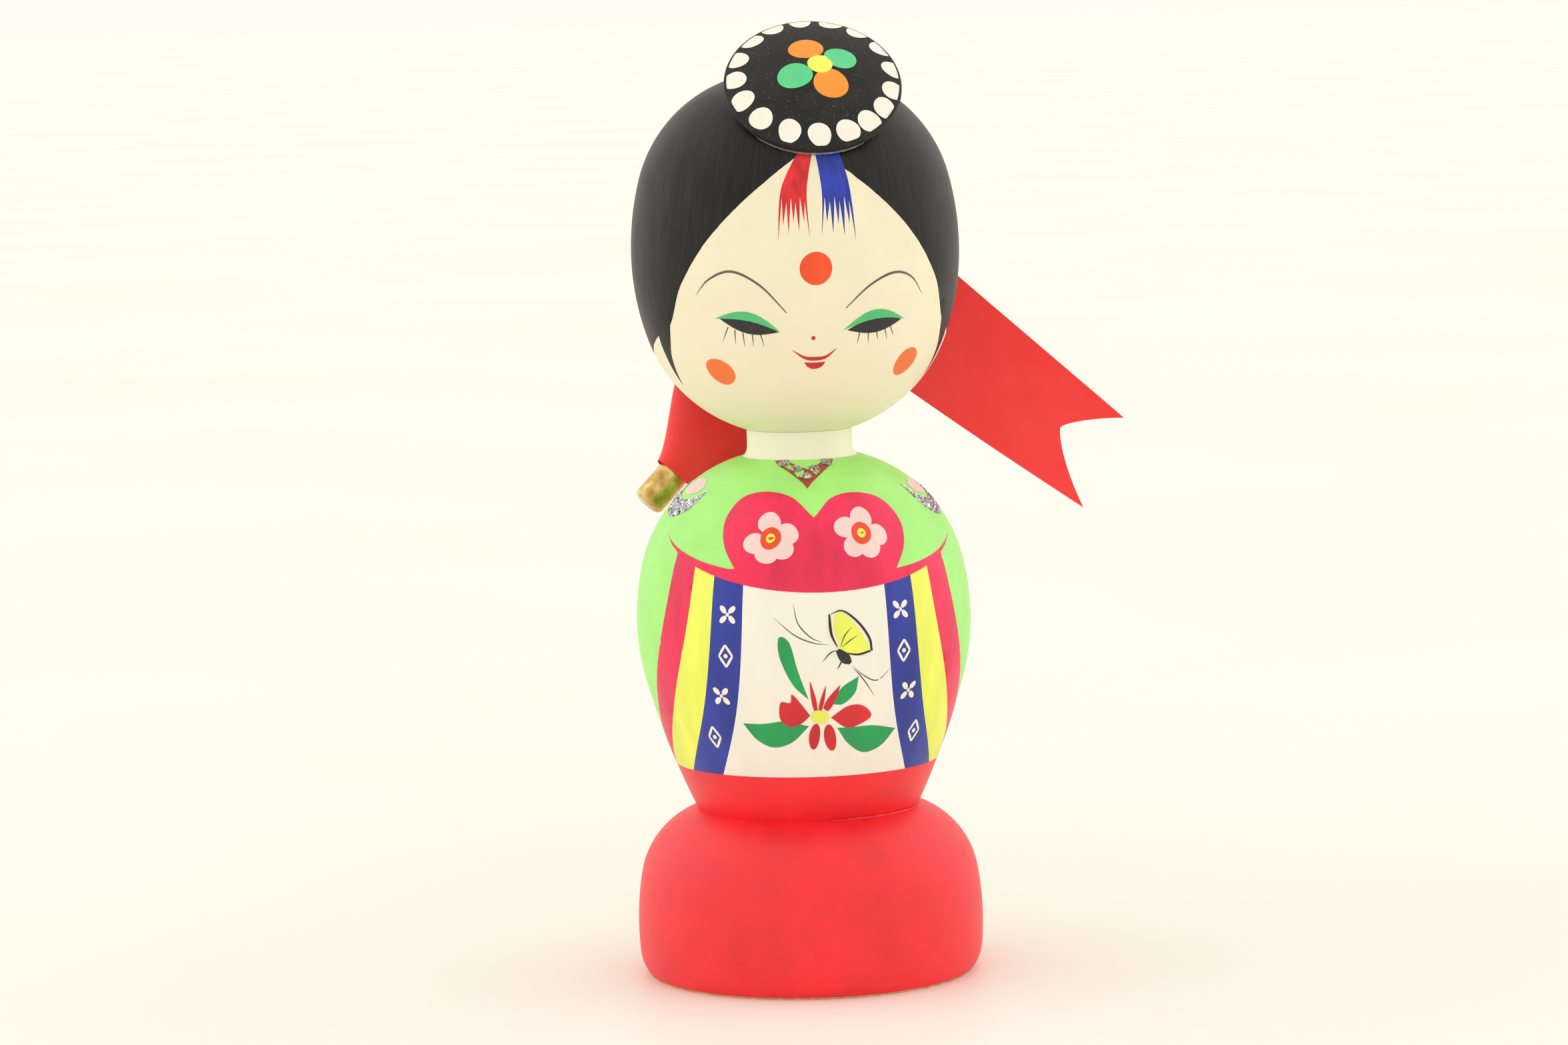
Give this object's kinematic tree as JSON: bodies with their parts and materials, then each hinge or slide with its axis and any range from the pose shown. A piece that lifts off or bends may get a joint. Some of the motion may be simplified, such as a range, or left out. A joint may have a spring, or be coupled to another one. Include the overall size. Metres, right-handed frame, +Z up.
{
  "type": "turned wooden doll",
  "caption": "Turned and painted wooden doll in Korean bridal dress: round head on a neck tenon, domed hat, gold hairpin with two red satin ribbons, egg-shaped body and bowl-shaped foot.",
  "frame": {"origin": "centre of the foot's underside, on the turning axis", "axes": "+Z up along the turning axis, the doll faces -Y, its left hand side is +X"},
  "size_m": [0.0946, 0.0747, 0.1754],
  "materials": {
    "red_paint": "satin poster-red paint on turned wood",
    "bare_wood": "bare pale turned wood",
    "green_paint": "satin apple-green paint on turned wood",
    "white_paint": "matte white paint on turned wood",
    "cream_paint": "satin cream paint on turned wood",
    "black_paint": "brushed matte black paint on turned wood",
    "decor_paint": "hand-painted bright enamel motifs",
    "glitter": "silver glitter in clear lacquer",
    "clear_glue": "clear dried glue",
    "gold_paint": "glossy, slightly uneven gold paint on a wooden dowel",
    "steel": "plain steel nail, hidden and assumed",
    "red_satin": "red satin ribbon"
  },
  "bodies": {
    "stand": {"base": "red_paint", "base_dowel": "bare_wood", "body": "green_paint", "neck": "white_paint"},
    "head": {"head": "cream_paint", "hat": "black_paint", "hat_peg": "bare_wood", "hairpin_nail": "steel"},
    "hairpin": {"hairpin": "gold_paint", "ribbon_left": "red_satin", "ribbon_right": "red_satin"}
  },
  "joints": [
    {"name": "head_turn", "type": "hinge", "parent": "stand", "child": "head", "pos_m": [0, 0, 0.101], "axis": [0, 0, 1], "continuous": true},
    {"name": "hairpin_swivel", "type": "hinge", "parent": "head", "child": "hairpin", "pos_m": [-0.00235, 0.031, 0.11375], "axis": [0, 1, 0], "range_deg": [-6, 47]}
  ]
}
